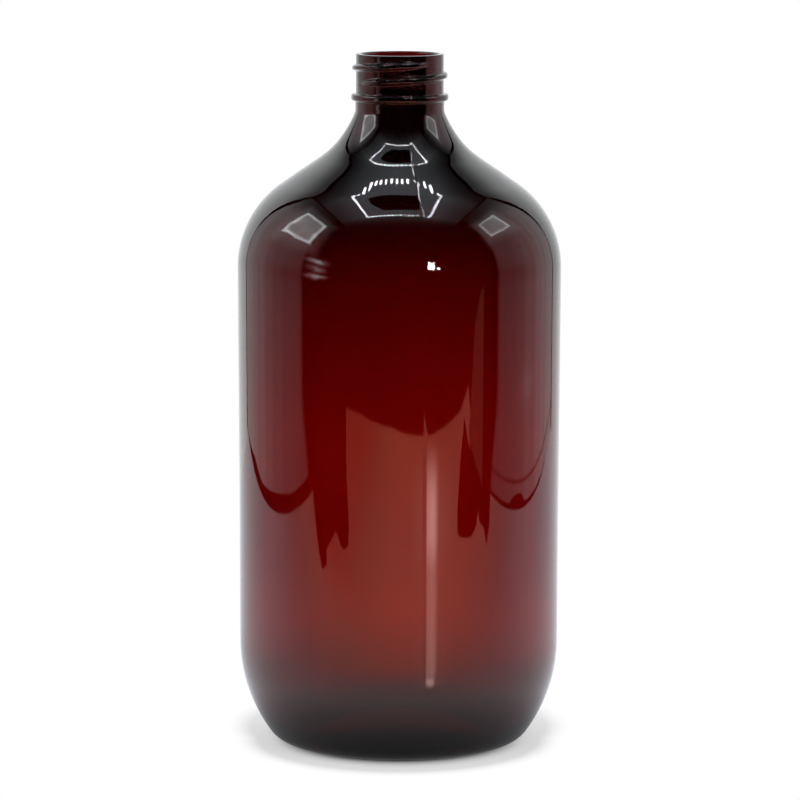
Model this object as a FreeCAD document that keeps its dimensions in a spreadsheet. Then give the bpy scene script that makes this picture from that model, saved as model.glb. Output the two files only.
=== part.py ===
"""A one litre Boston round bottle in blow-moulded PET, open at the mouth.

The bottle is one piece: a wall that is thick at the moulded neck, thins over
the shoulder to the body and thickens again at the heel and the base.  The wall
section is drawn once, as a closed outline, and revolved about the bottle's
axis.  The stop bead, which keeps a cap off the shoulder, and the screw thread
are added to the neck.

Millimetres and degrees.  The origin is the middle of the base on the surface
that the bottle stands on, and +Z runs up its axis.
"""
import FreeCAD, Part
import math
import os

import Sketcher

SIZES = [
    # alias, value, what it is
    ("bottle_height", 199.5, "standing ring to rim"),
    ("body_radius", 46.6, "outside, where the shoulder meets the body"),
    ("body_taper", 0.55, "how much less that radius is where the body meets the heel"),
    ("body_wall_top", 0.6, "wall where the shoulder meets the body, measured level"),
    ("body_wall", 0.42, "wall where the body meets the heel, measured level"),
    # neck
    ("neck_length", 15.9, "rim to the start of the shoulder"),
    ("neck_radius", 12.6, "outside of the threaded neck"),
    ("neck_wall", 1.7, "wall of the threaded neck"),
    ("collar_step", 0.17, "how much wider the neck is below the bead"),
    ("lip_round", 0.3, "rounding of the rim's outer edge"),
    ("mouth_round", 0.6, "rounding of the rim's inner edge"),
    # stop bead
    ("bead_drop", 12.4, "rim to the middle of the bead"),
    ("bead_reach", 1.36, "how far the bead stands out of the neck"),
    ("bead_height", 2.0, "height of the bead"),
    ("bead_round", 0.7, "rounding of the bead's edges"),
    # thread
    ("thread_drop", 6.13, "rim to the thread, where it crosses +X"),
    ("thread_lead", 4.23, "fall of the thread in one turn, six turns an inch"),
    ("thread_depth", 1.08, "how far the thread stands out of the neck"),
    ("thread_crest", 0.8, "width of the thread's crest"),
    ("thread_flank", 30.0, "slope of the thread's flanks from level"),
    ("thread_start", -45.0, "where the thread starts at the top, from +X"),
    ("thread_span", 470.0, "how far round it runs from there, downwards"),
    ("thread_fade", 35.0, "how far round each of its ends takes to run out"),
    # shoulder
    ("collar_blend", 3.0, "radius between the neck and the flare"),
    ("collar_turn", 22.5, "how far that radius turns"),
    ("flare_radius", 30.0, "hollow radius of the flare below the neck"),
    ("shoulder_slope", 34.5, "fall of the cone from level"),
    ("shoulder_radius", 29.0, "round radius from the cone to the body"),
    ("cone_thicken", 3.0, "how much flatter the cone is inside, so that it thickens upwards"),
    ("throat_ease", 1.5, "how much larger the flare's radius is inside"),
    ("dome_ease", 1.0, "how much smaller the shoulder's radius is inside"),
    # heel and base
    ("heel_height", 29.4, "where the body ends and the heel begins"),
    ("heel_radius", 44.25, "outside radius of the heel"),
    ("corner_radius", 8.5, "outside radius from the heel to the ring"),
    ("ring_land", 1.6, "width of the flat ring that it stands on"),
    ("ring_blend", 3.0, "radius from the ring into the push-up"),
    ("push_up", 5.0, "height of the push-up in the middle of the base"),
    ("bowl_ease", 1.2, "how much smaller the heel's radius is inside"),
    ("trough_ease", 1.5, "how much smaller the corner's radius is inside"),
    ("ring_wall", 1.1, "wall above the ring"),
    ("base_wall", 1.9, "wall in the middle of the base"),
]


def make_sheet(doc):
    """The driving dimensions, one to a row, each cell named by its alias."""
    sheet = doc.addObject("Spreadsheet::Sheet", "sizes")
    for row, (alias, value, note) in enumerate(SIZES, start=1):
        sheet.set(f"A{row}", alias)
        sheet.set(f"B{row}", str(value))
        sheet.set(f"C{row}", note)
        sheet.setAlias(f"B{row}", alias)
    doc.recompute()
    return sheet


def plane(body, role):
    """One of the body's own origin planes."""
    return next(f for f in body.Origin.OriginFeatures if f.Role == role)


def new_sketch(body, name):
    """A sketch on the body's XZ plane: its own axes are then +X and +Z."""
    sketch = body.newObject("Sketcher::SketchObject", name)
    sketch.AttachmentSupport = [(plane(body, "XZ_Plane"), "")]
    sketch.MapMode = "FlatFace"
    return sketch


def point(x, z):
    return FreeCAD.Vector(x, z, 0)


def towards(start, angle, distance):
    """The point that lies so far from start, at an angle in degrees."""
    a = math.radians(angle)
    return start + point(distance * math.cos(a), distance * math.sin(a))


def line(start, end):
    return Part.LineSegment(start, end)


def arc(centre, radius, first, last):
    """An arc that runs anticlockwise between two angles in degrees."""
    circle = Part.Circle(centre, FreeCAD.Vector(0, 0, 1), radius)
    return Part.ArcOfCircle(circle, math.radians(first), math.radians(last))


def size(sketch, name, expression, *reference):
    """A dimension of the sketch, held by an expression on the sheet."""
    index = sketch.addConstraint(Sketcher.Constraint(*reference))
    sketch.renameConstraint(index, name)
    sketch.setExpression(f"Constraints.{name}", expression)


START, END, CENTRE = 1, 2, 3  # the points of a sketch element
ORIGIN = (-1, 1)
Z_AXIS = -2


def draw_wall(sketch, s):
    """The closed outline of the wall, from the rim down the outside, across
    the base and up the inside.  s gives the sizes, and each element is laid
    close to its place for the constraints to settle it there."""
    top = s.bottle_height
    collar = s.neck_radius + s.collar_step
    bore = s.neck_radius - s.neck_wall
    bead_z = top - s.bead_drop
    steep = 90 - s.shoulder_slope
    waist = s.body_radius - s.body_taper
    draft = -math.degrees(math.atan2(s.body_taper, s.bottle_height / 2))

    # outside, neck to body
    blend_c = point(collar + s.collar_blend, top - s.neck_length)
    blend_end = towards(blend_c, 180 + s.collar_turn, s.collar_blend)
    flare_c = towards(blend_end, s.collar_turn, s.flare_radius)
    cone_top = towards(flare_c, 180 + steep, s.flare_radius)
    reach = s.body_radius - s.shoulder_radius * (1 - math.cos(math.radians(steep)))
    cone_end = cone_top + point(1, -math.tan(math.radians(s.shoulder_slope))) * (reach - cone_top.x)
    shoulder_c = towards(cone_end, 180 + steep, s.shoulder_radius)

    # outside, heel to the middle of the base
    heel_c = point(waist - s.heel_radius, s.heel_height)
    lean = math.degrees(math.asin((s.heel_height - s.corner_radius) / (s.heel_radius - s.corner_radius)))
    corner_c = towards(heel_c, -lean, s.heel_radius - s.corner_radius)
    land_in = corner_c.x - s.ring_land
    rise = s.ring_blend - s.push_up
    push_r = (land_in**2 + rise**2 - s.ring_blend**2) / (2 * s.push_up)
    push_c = point(0, s.push_up - push_r)
    fold_c = point(land_in, s.ring_blend)
    fold = math.degrees(math.atan2(fold_c.y - push_c.y, fold_c.x))

    # inside, base to bore
    trough_r = s.corner_radius - s.trough_ease
    bowl_r = s.heel_radius - s.bowl_ease
    dome_r = s.shoulder_radius - s.dome_ease
    throat_r = s.flare_radius + s.throat_ease
    gullet_r = collar + s.collar_blend - bore
    floor = s.push_up + s.base_wall
    trough_c = point(corner_c.x, s.ring_wall + trough_r)
    rise = trough_c.y - floor
    floor_r = (trough_c.x**2 + rise**2 - trough_r**2) / (2 * (floor - s.ring_wall))
    floor_c = point(0, floor - floor_r)
    bend = math.degrees(math.atan2(trough_c.y - floor_c.y, trough_c.x))
    inner = waist - s.body_wall
    inner_top = s.body_radius - s.body_wall_top
    bowl = math.degrees(math.acos((trough_c.x - inner + bowl_r) / (bowl_r - trough_r)))
    bowl_c = towards(trough_c, 180 - bowl, bowl_r - trough_r)
    flat = s.shoulder_slope - s.cone_thicken
    dome_c = point(inner_top - dome_r, shoulder_c.y)
    in_end = towards(dome_c, 90 - flat, dome_r)
    gap = blend_c - in_end
    aside = gap.dot(towards(point(0, 0), 90 - flat, 1)) - throat_r
    along = gap.dot(towards(point(0, 0), 180 - flat, 1)) - math.sqrt((throat_r - gullet_r) ** 2 - aside**2)
    in_top = towards(in_end, 180 - flat, along)
    throat_c = towards(in_top, 90 - flat, throat_r)
    gorge = math.degrees(math.atan2(throat_c.y - blend_c.y, throat_c.x - blend_c.x))

    parts = {
        "rim": line(point(bore + s.mouth_round, top), point(s.neck_radius - s.lip_round, top)),
        "lip": arc(point(s.neck_radius - s.lip_round, top - s.lip_round), s.lip_round, 0, 90),
        "neck": line(point(s.neck_radius, top - s.lip_round), point(s.neck_radius, bead_z)),
        "step": line(point(s.neck_radius, bead_z), point(collar, bead_z)),
        "collar": line(point(collar, bead_z), point(collar, blend_c.y)),
        "blend": arc(blend_c, s.collar_blend, 180, 180 + s.collar_turn),
        "flare": arc(flare_c, s.flare_radius, 180 + s.collar_turn, 180 + steep),
        "cone": line(cone_top, cone_end),
        "shoulder": arc(shoulder_c, s.shoulder_radius, draft, steep),
        "body": line(point(s.body_radius, shoulder_c.y), point(waist, s.heel_height)),
        "heel": arc(heel_c, s.heel_radius, -lean, draft),
        "corner": arc(corner_c, s.corner_radius, -90, -lean),
        "land": line(point(corner_c.x, 0), point(land_in, 0)),
        "fold": arc(fold_c, s.ring_blend, 180 + fold, 270),
        "push": arc(push_c, push_r, fold, 90),
        "middle": line(point(0, s.push_up), point(0, floor)),
        "floor": arc(floor_c, floor_r, bend, 90),
        "trough": arc(trough_c, trough_r, 180 + bend, 360 - bowl),
        "bowl": arc(bowl_c, bowl_r, -bowl, draft),
        "inside": line(point(inner, bowl_c.y), point(inner_top, dome_c.y)),
        "dome": arc(dome_c, dome_r, draft, 90 - flat),
        "cone_in": line(in_end, in_top),
        "throat": arc(throat_c, throat_r, 180 + gorge, 270 - flat),
        "gullet": arc(blend_c, gullet_r, 180, 180 + gorge),
        "bore": line(point(bore, blend_c.y), point(bore, top - s.mouth_round)),
        "mouth": arc(point(bore + s.mouth_round, top - s.mouth_round), s.mouth_round, 90, 180),
    }
    g = {name: sketch.addGeometry(shape, False) for name, shape in parts.items()}

    def meet(kind, a, a_end, b, b_end):
        sketch.addConstraint(Sketcher.Constraint(kind, g[a], a_end, g[b], b_end))

    # round the outline: smooth joints first, then the plain corners
    for a, a_end, b, b_end in (
        ("rim", END, "lip", END), ("lip", START, "neck", START),
        ("collar", END, "blend", START), ("blend", END, "flare", START),
        ("flare", END, "cone", START), ("cone", END, "shoulder", END),
        ("shoulder", START, "body", START), ("body", END, "heel", END),
        ("heel", START, "corner", END), ("corner", START, "land", START),
        ("land", END, "fold", END), ("fold", START, "push", START),
        ("floor", START, "trough", START), ("trough", END, "bowl", START),
        ("bowl", END, "inside", START), ("inside", END, "dome", START),
        ("dome", END, "cone_in", START), ("cone_in", END, "throat", END),
        ("throat", START, "gullet", END), ("gullet", START, "bore", START),
        ("bore", END, "mouth", END),
        ("mouth", START, "rim", START),
    ):
        meet("Tangent", a, a_end, b, b_end)
    for a, a_end, b, b_end in (
        ("neck", END, "step", START), ("step", END, "collar", START),
        ("push", END, "middle", START), ("middle", END, "floor", END),
    ):
        meet("Coincident", a, a_end, b, b_end)

    for name in ("rim", "step", "land"):
        sketch.addConstraint(Sketcher.Constraint("Horizontal", g[name]))
    for name in ("neck", "collar", "middle", "bore"):
        sketch.addConstraint(Sketcher.Constraint("Vertical", g[name]))
    sketch.addConstraint(Sketcher.Constraint("PointOnObject", g["middle"], START, Z_AXIS))
    sketch.addConstraint(Sketcher.Constraint("PointOnObject", g["push"], CENTRE, Z_AXIS))
    sketch.addConstraint(Sketcher.Constraint("PointOnObject", g["floor"], CENTRE, Z_AXIS))
    sketch.addConstraint(Sketcher.Constraint("PointOnObject", g["land"], START, -1))
    sketch.addConstraint(Sketcher.Constraint("Vertical", g["trough"], CENTRE, g["corner"], CENTRE))
    sketch.addConstraint(Sketcher.Constraint("Horizontal", g["dome"], CENTRE, g["shoulder"], CENTRE))
    sketch.addConstraint(Sketcher.Constraint("Coincident", g["gullet"], CENTRE, g["blend"], CENTRE))

    for name, expression in (
        ("lip", "sizes.lip_round"), ("mouth", "sizes.mouth_round"), ("blend", "sizes.collar_blend"),
        ("flare", "sizes.flare_radius"), ("shoulder", "sizes.shoulder_radius"), ("heel", "sizes.heel_radius"),
        ("corner", "sizes.corner_radius"), ("fold", "sizes.ring_blend"),
        ("trough", "sizes.corner_radius - sizes.trough_ease"), ("bowl", "sizes.heel_radius - sizes.bowl_ease"),
        ("dome", "sizes.shoulder_radius - sizes.dome_ease"), ("throat", "sizes.flare_radius + sizes.throat_ease"),
    ):
        size(sketch, f"{name}_r", expression, "Radius", g[name], parts[name].Radius)

    def across(name, expression, element, end, now):
        size(sketch, name, expression, "DistanceX", *ORIGIN, g[element], end, now)

    def above(name, expression, element, end, now):
        size(sketch, name, expression, "DistanceY", *ORIGIN, g[element], end, now)

    above("rim_z", "sizes.bottle_height", "rim", END, top)
    across("neck_x", "sizes.neck_radius", "neck", START, s.neck_radius)
    above("bead_z", "sizes.bottle_height - sizes.bead_drop", "step", START, bead_z)
    across("collar_x", "sizes.neck_radius + sizes.collar_step", "collar", START, collar)
    above("collar_z", "sizes.bottle_height - sizes.neck_length", "collar", END, blend_c.y)
    across("body_x", "sizes.body_radius", "body", START, s.body_radius)
    across("waist_x", "sizes.body_radius - sizes.body_taper", "body", END, waist)
    above("heel_z", "sizes.heel_height", "body", END, s.heel_height)
    across("inside_top_x", "sizes.body_radius - sizes.body_wall_top", "inside", END, inner_top)
    across("inside_x", "sizes.body_radius - sizes.body_taper - sizes.body_wall", "inside", START, inner)
    above("push_z", "sizes.push_up", "push", END, s.push_up)
    across("bore_x", "sizes.neck_radius - sizes.neck_wall", "bore", START, bore)
    size(sketch, "land_w", "sizes.ring_land", "DistanceX", g["land"], END, g["land"], START, s.ring_land)
    size(sketch, "base_w", "sizes.base_wall", "DistanceY", g["middle"], START, g["middle"], END, s.base_wall)
    above("trough_z", "sizes.ring_wall + sizes.corner_radius - sizes.trough_ease", "trough", CENTRE, trough_c.y)
    size(sketch, "blend_turn", "sizes.collar_turn * 1 deg", "Angle", g["blend"], math.radians(s.collar_turn))
    size(sketch, "slope", "-sizes.shoulder_slope * 1 deg", "Angle", g["cone"], math.radians(-s.shoulder_slope))
    size(sketch, "slope_in", "180 deg - (sizes.shoulder_slope - sizes.cone_thicken) * 1 deg",
         "Angle", g["cone_in"], math.radians(180 - flat))


def draw_bead(sketch, s):
    """The bead's section: it starts inside the neck's wall, so that the two
    join, and its two outer edges are rounded."""
    low = s.bottle_height - s.bead_drop - s.bead_height / 2
    high = low + s.bead_height
    root = s.neck_radius - s.neck_wall / 2
    out = s.neck_radius + s.bead_reach
    r = s.bead_round
    parts = {
        "under": line(point(root, low), point(out - r, low)),
        "edge": arc(point(out - r, low + r), r, -90, 0),
        "face": line(point(out, low + r), point(out, high - r)),
        "brow": arc(point(out - r, high - r), r, 0, 90),
        "upper": line(point(out - r, high), point(root, high)),
        "back": line(point(root, high), point(root, low)),
    }
    g = {name: sketch.addGeometry(shape, False) for name, shape in parts.items()}
    for a, a_end, b, b_end in (
        ("under", END, "edge", START), ("edge", END, "face", START),
        ("face", END, "brow", START), ("brow", END, "upper", START),
    ):
        sketch.addConstraint(Sketcher.Constraint("Tangent", g[a], a_end, g[b], b_end))
    sketch.addConstraint(Sketcher.Constraint("Coincident", g["upper"], END, g["back"], START))
    sketch.addConstraint(Sketcher.Constraint("Coincident", g["back"], END, g["under"], START))
    sketch.addConstraint(Sketcher.Constraint("Horizontal", g["under"]))
    sketch.addConstraint(Sketcher.Constraint("Horizontal", g["upper"]))
    sketch.addConstraint(Sketcher.Constraint("Vertical", g["back"]))
    sketch.addConstraint(Sketcher.Constraint("Vertical", g["face"]))
    sketch.addConstraint(Sketcher.Constraint("Equal", g["edge"], g["brow"]))
    size(sketch, "round", "sizes.bead_round", "Radius", g["edge"], r)
    size(sketch, "height", "sizes.bead_height", "DistanceY", g["back"], END, g["back"], START, s.bead_height)
    size(sketch, "low_z", "sizes.bottle_height - sizes.bead_drop - sizes.bead_height / 2",
         "DistanceY", *ORIGIN, g["under"], START, low)
    size(sketch, "root_x", "sizes.neck_radius - sizes.neck_wall / 2", "DistanceX", *ORIGIN, g["under"], START, root)
    size(sketch, "out_x", "sizes.neck_radius + sizes.bead_reach", "DistanceX", *ORIGIN, g["face"], START, out)


def revolve(body, sketch, name):
    feature = body.newObject("PartDesign::Revolution", name)
    feature.Profile = sketch
    feature.ReferenceAxis = (sketch, ["V_Axis"])
    feature.Angle = 360
    return feature


def thread_section(s, run):
    """The thread's section, run degrees on from its upper end: a crest that
    is slightly round between two straight flanks, on a root inside the wall.
    Near an end it sinks until the crest is under the neck's surface."""
    left = min(run, s.thread_span - run) / s.thread_fade
    grow = 1 if left >= 1 else left * left * (3 - 2 * left)
    sunk = s.thread_crest / 4  # depth of the crest under the surface at an end
    height = (s.thread_depth + sunk) * grow - sunk
    azimuth = s.thread_start - run
    z = s.bottle_height - s.thread_drop + s.thread_lead * azimuth / 360 + s.thread_lead
    spread = math.tan(math.radians(s.thread_flank))
    crest = s.neck_radius + height
    root = s.neck_radius - s.neck_wall / 2
    half = s.thread_crest / 2
    wide = half + (crest - root) * spread
    turn = FreeCAD.Rotation(FreeCAD.Vector(0, 0, 1), azimuth)
    low_root, low, tip, high, high_root = (
        turn.multVec(FreeCAD.Vector(x, 0, z + dz))
        for x, dz in (
            (root, -wide), (crest - half * spread, -half), (crest, 0), (crest - half * spread, half), (root, wide),
        )
    )
    return Part.Wire([
        Part.makeLine(low_root, low),
        Part.Arc(low, tip, high).toShape(),
        Part.makeLine(high, high_root),
        Part.makeLine(high_root, low_root),
    ])


def make_thread(doc, s):
    """The screw thread, as one smooth loft through sections along its helix."""
    steps = math.ceil(s.thread_span / 15)
    sections = [thread_section(s, s.thread_span * i / steps) for i in range(steps + 1)]
    thread = doc.addObject("Part::Feature", "thread")
    thread.Shape = Part.makeLoft(sections, True, False)
    return thread


class Sizes:
    """The sheet's values by name."""

    def __init__(self, sheet):
        self.sheet = sheet

    def __getattr__(self, alias):
        return float(self.sheet.get(alias))


def check(doc, part):
    """No object of the document has failed, and the part is one good solid."""
    for item in doc.Objects:
        if "Invalid" in item.State or "Error" in item.State:
            raise RuntimeError(f"{item.Name} failed: {item.State}")
    shape = part.Shape
    if shape.isNull() or not shape.isValid() or len(shape.Solids) != 1:
        raise RuntimeError(f"{part.Label} isn't one valid solid")


def main():
    doc = FreeCAD.newDocument("boston_round_bottle")
    sheet = make_sheet(doc)
    s = Sizes(sheet)

    wall = doc.addObject("PartDesign::Body", "wall")
    section = new_sketch(wall, "wall_section")
    draw_wall(section, s)
    doc.recompute()
    print("wall section solved:", section.solve(), "fully held:", section.FullyConstrained)
    revolve(wall, section, "wall_turned")
    doc.recompute()

    bead_section = new_sketch(wall, "bead_section")
    draw_bead(bead_section, s)
    doc.recompute()
    print("bead section solved:", bead_section.solve(), "fully held:", bead_section.FullyConstrained)
    revolve(wall, bead_section, "bead")
    doc.recompute()

    thread = make_thread(doc, s)
    bottle = doc.addObject("Part::Fuse", "bottle_fuse")
    bottle.Label = "bottle"
    bottle.Base = wall
    bottle.Tool = thread
    doc.recompute()
    check(doc, bottle)

    os.makedirs("parts", exist_ok=True)
    bottle.Shape.exportStep(f"parts/{bottle.Label}.step")
    box = bottle.Shape.BoundBox
    print(f"{bottle.Label}: {bottle.Shape.Volume / 1000:.2f} cm3, {box.XLength:.2f} x {box.YLength:.2f} x {box.ZLength:.2f} mm")


main()
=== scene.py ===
"""The looks of a one litre Boston round bottle in amber-red PET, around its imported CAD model.

Laid out as a Blender add-on, and run as a script. Metres throughout: the origin is the
middle of the base on the surface that the bottle stands on, and +Z runs up its axis.
"""
import math

import bmesh
import bpy
from bpy.props import FloatProperty, FloatVectorProperty, IntProperty, PointerProperty
from mathutils import Matrix, Vector, noise


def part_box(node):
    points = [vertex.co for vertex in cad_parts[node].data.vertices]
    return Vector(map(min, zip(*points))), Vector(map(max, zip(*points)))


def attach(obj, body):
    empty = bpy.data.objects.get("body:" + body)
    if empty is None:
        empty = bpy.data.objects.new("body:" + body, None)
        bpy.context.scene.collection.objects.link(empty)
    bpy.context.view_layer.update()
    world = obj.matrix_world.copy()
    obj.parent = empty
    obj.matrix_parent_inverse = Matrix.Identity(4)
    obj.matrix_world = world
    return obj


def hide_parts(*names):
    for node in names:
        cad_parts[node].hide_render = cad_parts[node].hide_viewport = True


bl_info = {
    "name": "Boston Round Bottle",
    "version": (1, 0, 0),
    "blender": (4, 5, 0),
    "location": "View3D > Sidebar > Bottle",
    "description": "Models a blow-moulded Boston round bottle, and the light tent round it",
    "category": "Add Mesh",
}

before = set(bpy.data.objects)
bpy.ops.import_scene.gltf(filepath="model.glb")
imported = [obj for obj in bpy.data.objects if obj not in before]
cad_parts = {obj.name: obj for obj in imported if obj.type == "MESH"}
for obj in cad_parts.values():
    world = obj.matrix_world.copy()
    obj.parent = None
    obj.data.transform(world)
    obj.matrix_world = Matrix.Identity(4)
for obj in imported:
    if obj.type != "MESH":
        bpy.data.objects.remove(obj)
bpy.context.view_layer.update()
_, TOP_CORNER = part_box("bottle")
NODE = "bottle"

FULL_TURN = 2 * math.pi


# ---------------------------------------------------------------- settings

def length(name, description, default):
    return FloatProperty(
        name=name, description=description, default=default, min=0.0, precision=5,
        subtype="DISTANCE", unit="LENGTH",
    )


def angle(name, description, degrees):
    return FloatProperty(
        name=name, description=description, default=math.radians(degrees), subtype="ANGLE", unit="ROTATION",
    )


def colour(name, description, default):
    return FloatVectorProperty(
        name=name, description=description, default=default, size=3, min=0.0, soft_max=1.0, subtype="COLOR",
    )


class BottleSizes(bpy.types.PropertyGroup):
    """The sizes of the bottle's wall, neck, thread and base"""

    height: length("Height", "Standing ring to rim", round(TOP_CORNER.z, 5))
    body_radius: length("Body radius", "Outside, where the shoulder meets the body", 0.0466)
    body_taper: length("Body taper", "How much less that radius is where the body meets the heel", 0.00055)
    wall_top: length("Wall at the shoulder", "Wall where the shoulder meets the body", 0.0006)
    wall_low: length("Wall at the heel", "Wall where the body meets the heel", 0.00042)

    neck_length: length("Neck length", "Rim to the start of the shoulder", 0.0159)
    neck_radius: length("Neck radius", "Outside of the threaded neck", 0.0126)
    neck_wall: length("Neck wall", "Wall of the threaded neck", 0.0017)
    collar_step: length("Collar step", "How much wider the neck is below the bead", 0.00017)
    lip_round: length("Lip rounding", "Rounding of the rim's outer edge", 0.0003)
    mouth_round: length("Mouth rounding", "Rounding of the rim's inner edge", 0.0006)

    bead_drop: length("Bead drop", "Rim to the middle of the stop bead", 0.0124)
    bead_reach: length("Bead reach", "How far the bead stands out of the neck", 0.00136)
    bead_height: length("Bead height", "Height of the bead", 0.002)
    bead_round: length("Bead rounding", "Rounding of the bead's edges", 0.0007)
    root_round: length("Root rounding", "Rounding where the bead meets the neck", 0.00025)

    thread_drop: length("Thread drop", "Rim to the thread, where it crosses +X", 0.00613)
    thread_lead: length("Thread lead", "Fall of the thread in one turn", 0.00423)
    thread_depth: length("Thread depth", "How far the thread stands out of the neck", 0.00108)
    thread_crest: length("Thread crest", "Width of the thread's crest", 0.0008)
    thread_flank: angle("Thread flank", "Slope of the thread's flanks from level", 30.0)
    thread_start: angle("Thread start", "Where the thread starts at the top, from +X", -45.0)
    thread_span: angle("Thread span", "How far round it runs from there, downwards", 470.0)
    thread_fade: angle("Thread fade", "How far round each of its ends takes to run out", 35.0)

    collar_blend: length("Collar blend", "Radius between the neck and the flare", 0.003)
    collar_turn: angle("Collar turn", "How far that radius turns", 22.5)
    flare_radius: length("Flare radius", "Hollow radius of the flare below the neck", 0.030)
    shoulder_slope: angle("Shoulder slope", "Fall of the cone from level", 34.5)
    shoulder_radius: length("Shoulder radius", "Round radius from the cone to the body", 0.029)
    cone_thicken: angle("Cone thickening", "How much flatter the cone is inside", 3.0)
    throat_ease: length("Throat ease", "How much larger the flare's radius is inside", 0.0015)
    dome_ease: length("Dome ease", "How much smaller the shoulder's radius is inside", 0.001)

    heel_height: length("Heel height", "Where the body ends and the heel begins", 0.0294)
    heel_radius: length("Heel radius", "Outside radius of the heel", 0.04425)
    corner_radius: length("Corner radius", "Outside radius from the heel to the ring", 0.0085)
    ring_land: length("Ring width", "Width of the flat ring that it stands on", 0.0016)
    ring_blend: length("Ring blend", "Radius from the ring into the push-up", 0.003)
    push_up: length("Push-up", "Height of the push-up in the middle of the base", 0.005)
    bowl_ease: length("Bowl ease", "How much smaller the heel's radius is inside", 0.0012)
    trough_ease: length("Trough ease", "How much smaller the corner's radius is inside", 0.0015)
    ring_wall: length("Ring wall", "Wall above the ring", 0.0011)
    base_wall: length("Base wall", "Wall in the middle of the base", 0.0019)
    gate_radius: length("Gate radius", "Radius of the nub left under the base by moulding", 0.0016)
    gate_drop: length("Gate drop", "How far that nub stands down", 0.0007)

    cone_crown: length("Cone crown", "How far the cone bulges between the flare and the shoulder", 0.00006)
    flare_hollow: length("Flare hollow", "How much deeper the flare is than its arc", 0.00012)
    wall_gather: length("Gathered wall", "How much thicker the wall is where the shoulder starts", 0.00051)

    parting_turn: angle("Parting line", "Where the mould's parting line lies, right of front", 8.65)
    parting_height: length("Parting ridge", "How far the parting line stands out", 0.00004)
    parting_width: length("Parting width", "Half width of the parting line's ridge", 0.00009)
    ripple_out: length("Outside ripple", "Depth of the faint waves outside", 0.000012)
    ripple_in: length("Inside ripple", "Depth of the waves inside, where the wall varies", 0.00004)
    around: IntProperty(
        name="Steps round", description="Steps in one turn about the axis", default=176, min=48, max=256,
    )


class AmberFinish(bpy.types.PropertyGroup):
    """The clear amber-red plastic"""

    tint: colour("Surface tint", "Tint that each face gives to light passing through", (0.875, 0.20, 0.12))
    depth_colour: colour(
        "Depth colour", "Colour that the plastic's own depth lets through", (0.643, 0.04, 0.0),
    )
    depth: FloatProperty(
        name="Depth", description="How strongly the plastic's depth absorbs, for each metre",
        default=4200.0, min=0.0,
    )
    ior: FloatProperty(name="IOR", description="Refractive index of PET", default=1.575, min=1.0, max=2.0)
    gloss: FloatProperty(
        name="Roughness", description="Roughness of the clean surface", default=0.02, min=0.0, max=1.0,
    )
    scuff: FloatProperty(
        name="Scuffed roughness", description="Roughness of handled patches", default=0.06, min=0.0, max=1.0,
    )


class StudioSizes(bpy.types.PropertyGroup):
    """The light tent, its lamps and the camera"""

    half_width: length("Tent half width", "Axis to each side wall", 0.44)
    back: length("Tent back", "Axis to the back wall", 0.48)
    ceiling: length("Ceiling", "Height of the tent", 0.80)
    camera_distance: length("Camera distance", "Level distance from the axis to the lens", 1.4)
    camera_height: length("Camera height", "Height of the lens", 0.2897)
    camera_pitch: angle("Camera pitch", "How far the camera looks down", 7.74)
    camera_roll: angle("Camera roll", "How far the camera is tipped", 0.13)
    camera_view: angle("Field of view", "Width of the view", 9.355)


# ---------------------------------------------------------------- section of the wall

# how far off its arc an end may lie
ARC_SLACK = 2e-5

# the nub under the base: its tip, side and foot as shares of its radius, and the side's share of its drop
NUB_TIP, NUB_SIDE, NUB_FOOT = 0.55, 0.9, 1.3
NUB_SIDE_DROP = 0.75

# the thread ends so far below the rim
THREADED_DROP = 0.0022


class Section:
    """A line of edges in the XZ plane, carried on from its last vertex in steps of a length."""

    def __init__(self, mesh, x, z):
        self.mesh = mesh
        self.last = mesh.verts.new((x, 0.0, z))

    def line(self, x, z, step):
        """Carries the section on, straight, in steps about so long."""
        start, end = self.last.co.copy(), Vector((x, 0.0, z))
        count = max(1, round((end - start).length / step))
        for i in range(count):
            self.last = bmesh.ops.extrude_vert_indiv(self.mesh, verts=[self.last])["verts"][0]
            self.last.co = start.lerp(end, (i + 1) / count)

    def arc(self, centre, x, z, step):
        """Carries it on along an arc about a centre, the short way round."""
        middle, end = Vector((centre[0], 0.0, centre[1])), Vector((x, 0.0, z))
        first, second = self.last.co - middle, end - middle
        miss = first.length - second.length
        if abs(miss) > ARC_SLACK:
            raise RuntimeError(f"an arc about {tuple(centre)} misses its end by {miss:.6f} m")
        turn = math.atan2(first.z, first.x) - math.atan2(second.z, second.x)
        turn = (turn + math.pi) % FULL_TURN - math.pi
        count = max(3, round(abs(turn) * first.length / step))
        made = bmesh.ops.spin(
            self.mesh, geom=[self.last], cent=middle, axis=(0, 1, 0), dvec=(0, 0, 0), angle=turn,
            steps=count, use_merge=False, use_normal_flip=False, use_duplicate=False,
        )
        self.last = next(g for g in made["geom_last"] if isinstance(g, bmesh.types.BMVert))
        self.last.co = end


def towards(start, heading, distance):
    """The point that lies so far from start, at an angle."""
    return start + Vector((math.cos(heading), math.sin(heading))) * distance


def along(start, heading, centre, reach):
    """How far along a heading a line first comes within reach of a centre, past which it stays there."""
    gap = centre - start
    ahead = gap.dot(heading)
    return ahead + math.sqrt(max(reach * reach - gap.length_squared + ahead * ahead, 0.0))


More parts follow.
